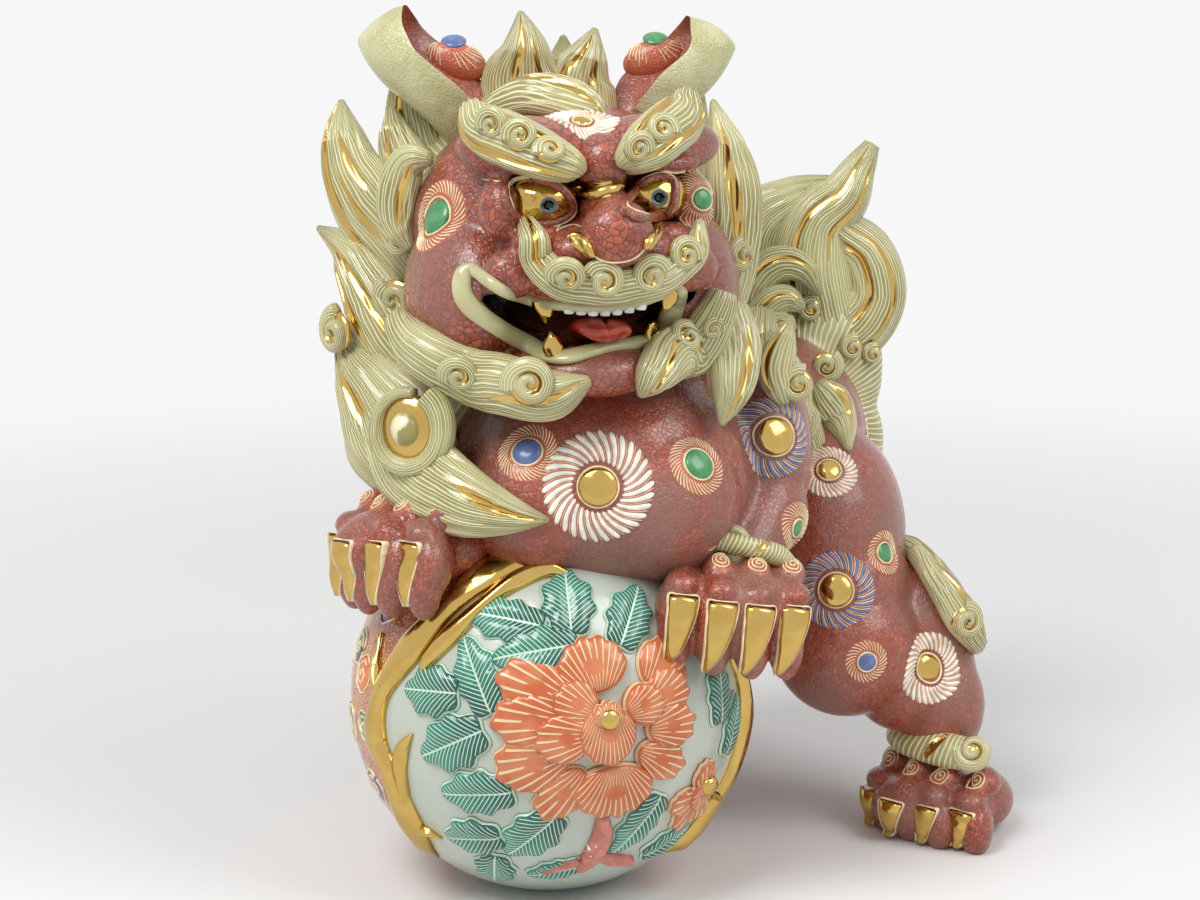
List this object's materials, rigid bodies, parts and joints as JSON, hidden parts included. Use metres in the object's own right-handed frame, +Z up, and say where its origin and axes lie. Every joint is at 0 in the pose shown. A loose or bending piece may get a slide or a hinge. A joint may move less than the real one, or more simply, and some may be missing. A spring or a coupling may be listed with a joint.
{
  "type": "guardian lion figure",
  "caption": "Glazed porcelain guardian lion with a flame-like mane and an open mouth, resting its forepaws on a decorated ball, made to stand on a shelf or table as an ornament.",
  "frame": {"origin": "middle of the figure's bounding box, on the table plane that the ball's foot and the hind soles stand on", "axes": "+Z up, -Y the way the figure faces, +X the figure's own left, which is the viewer's right"},
  "size_m": [0.3432, 0.313, 0.409],
  "materials": {
    "red_glaze": "gloss",
    "cream_glaze": "gloss",
    "gilt": "gold overglaze, mirror-like",
    "white_glaze": "gloss",
    "bloom_orange": "gloss",
    "leaf_green": "gloss",
    "tongue_red": "gloss"
  },
  "bodies": {
    "root": {"ankle_tuft_left": "cream_glaze", "ankle_tuft_right": "cream_glaze", "ball": "white_glaze", "beard_left": "cream_glaze", "beard_right": "cream_glaze", "brow_left": "cream_glaze", "brow_right": "cream_glaze", "chest_lock_right": "cream_glaze", "crest_left": "cream_glaze", "crest_middle": "cream_glaze", "ear_left": "cream_glaze", "ear_right": "cream_glaze", "eye_left": "gilt", "eye_right": "gilt", "foreleg_left": "red_glaze", "foreleg_right": "red_glaze", "forelock": "cream_glaze", "front_paw_left": "red_glaze", "front_paw_right": "red_glaze", "head": "red_glaze", "hind_leg_left": "red_glaze", "hind_leg_right": "red_glaze", "hind_paw_left": "red_glaze", "hind_paw_right": "red_glaze", "hock_tuft_left": "cream_glaze", "leaves_left": "leaf_green", "leaves_low": "leaf_green", "leaves_right": "leaf_green", "leaves_top": "leaf_green", "lower_fang_left": "gilt", "lower_fang_right": "gilt", "lower_jaw": "red_glaze", "lower_lip": "cream_glaze", "mane_collar": "cream_glaze", "mane_left_lower": "cream_glaze", "mane_left_upper": "cream_glaze", "mane_right_lower": "cream_glaze", "mane_right_middle": "cream_glaze", "mane_right_upper": "cream_glaze", "moustache": "cream_glaze", "nape_lower_left": "cream_glaze", "nape_lower_right": "cream_glaze", "nape_upper": "cream_glaze", "peony": "bloom_orange", "peony_bud": "bloom_orange", "ribbon_left": "gilt", "ribbon_right": "gilt", "shoulder_lock_left": "cream_glaze", "tail_fold": "cream_glaze", "tail_plume": "cream_glaze", "tail_root": "cream_glaze", "tail_side": "cream_glaze", "tongue": "tongue_red", "torso": "red_glaze", "upper_fang_left": "gilt", "upper_fang_right": "gilt", "upper_lip": "cream_glaze", "upper_teeth": "white_glaze", "wrist_tuft_left": "cream_glaze"}
  },
  "joints": []
}
